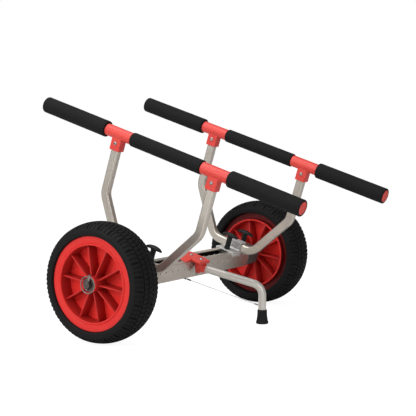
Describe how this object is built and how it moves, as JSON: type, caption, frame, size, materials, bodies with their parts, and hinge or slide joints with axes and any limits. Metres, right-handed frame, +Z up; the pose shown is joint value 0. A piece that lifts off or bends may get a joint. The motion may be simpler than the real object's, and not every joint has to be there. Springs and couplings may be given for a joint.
{
  "type": "kayak cart",
  "caption": "Two-wheeled cart for a kayak: padded bars on bent side frames that slide along a channel crossbeam, with a folding kickstand.",
  "frame": {"origin": "on the ground, under the middle of the bounding box", "axes": "+X along the crossbeam and the wheels' axis, +Y along the padded bars towards their high end, +Z up; the cart stands tilted 17.5 degrees on its two wheels and its kickstand"},
  "size_m": [0.773, 0.677, 0.525],
  "materials": {
    "aluminium": "satin, clear anodised",
    "grey_plastic": "moulded, fine texture",
    "tyre": "matt moulded rubber",
    "red_plastic": "moulded, half matt",
    "foam": "closed-cell foam, matt",
    "black_plastic": "moulded, half matt",
    "foot_rubber": "matt rubber",
    "dark_steel": "black oxide",
    "steel": "stainless"
  },
  "bodies": {
    "chassis": {"crossbeam": "aluminium", "end_block_left": "grey_plastic", "end_block_right": "grey_plastic", "block_screws": "steel", "axle_left": "steel", "axle_right": "steel", "axle_pins": "steel", "axle_washers_left": "steel", "axle_washers_right": "steel", "linch_pin_left": "steel", "linch_pin_right": "steel", "stand_bracket": "red_plastic", "bracket_screw": "steel", "pivot_screw": "steel", "cable_eye": "dark_steel", "cable_ferrule_top": "steel", "stay_cable": "steel"},
    "wheel_left": {"tyre_left": "tyre", "rim_left": "red_plastic", "hub_bushes_left": "steel"},
    "wheel_right": {"tyre_right": "tyre", "rim_right": "red_plastic", "hub_bushes_right": "steel"},
    "frame_left": {"side_frame_left": "aluminium", "clamp_left": "aluminium", "slide_nuts_left": "steel", "bar_tube_left": "aluminium", "tee_front_left": "red_plastic", "tee_rear_left": "red_plastic", "tee_screws_left": "steel", "foam_front_left": "foam", "foam_middle_left": "foam", "foam_rear_left": "foam", "end_caps_left": "red_plastic"},
    "frame_right": {"side_frame_right": "aluminium", "clamp_right": "aluminium", "slide_nuts_right": "steel", "bar_tube_right": "aluminium", "tee_front_right": "red_plastic", "tee_rear_right": "red_plastic", "tee_screws_right": "steel", "foam_front_right": "foam", "foam_middle_right": "foam", "foam_rear_right": "foam", "end_caps_right": "red_plastic"},
    "kickstand": {"stand_knuckle": "red_plastic", "stand_tube": "aluminium", "stand_foot": "foot_rubber", "cable_ferrule_foot": "steel"},
    "knob_inner_left": {"knob_inner_left": "black_plastic"},
    "knob_outer_left": {"knob_outer_left": "black_plastic"},
    "knob_inner_right": {"knob_inner_right": "black_plastic"},
    "knob_outer_right": {"knob_outer_right": "black_plastic"}
  },
  "joints": [
    {"name": "wheel_left_spin", "type": "hinge", "parent": "chassis", "child": "wheel_left", "pos_m": [-0.332, 0.07938, 0.131], "axis": [1, 0, 0], "continuous": true},
    {"name": "wheel_right_spin", "type": "hinge", "parent": "chassis", "child": "wheel_right", "pos_m": [0.332, 0.07938, 0.131], "axis": [1, 0, 0], "continuous": true},
    {"name": "frame_left_slide", "type": "slide", "parent": "chassis", "child": "frame_left", "axis": [-1, 0, 0], "range_m": [-0.1, 0]},
    {"name": "frame_right_slide", "type": "slide", "parent": "chassis", "child": "frame_right", "axis": [1, 0, 0], "range_m": [-0.1, 0]},
    {"name": "kickstand_fold", "type": "hinge", "parent": "chassis", "child": "kickstand", "pos_m": [-0.005, 0.04394, 0.13031], "axis": [0, 0.3007, -0.9537], "range_deg": [0, 100], "deforming": ["stay_cable"]},
    {"name": "knob_inner_left_turn", "type": "hinge", "parent": "frame_left", "child": "knob_inner_left", "pos_m": [-0.163, 0.07036, 0.15961], "axis": [0, -0.3007, 0.9537], "range_deg": [0, 360]},
    {"name": "knob_outer_left_turn", "type": "hinge", "parent": "frame_left", "child": "knob_outer_left", "pos_m": [-0.235, 0.07036, 0.15961], "axis": [0, -0.3007, 0.9537], "range_deg": [0, 360]},
    {"name": "knob_inner_right_turn", "type": "hinge", "parent": "frame_right", "child": "knob_inner_right", "pos_m": [0.163, 0.07036, 0.15961], "axis": [0, -0.3007, 0.9537], "range_deg": [0, 360]},
    {"name": "knob_outer_right_turn", "type": "hinge", "parent": "frame_right", "child": "knob_outer_right", "pos_m": [0.235, 0.07036, 0.15961], "axis": [0, -0.3007, 0.9537], "range_deg": [0, 360]}
  ]
}
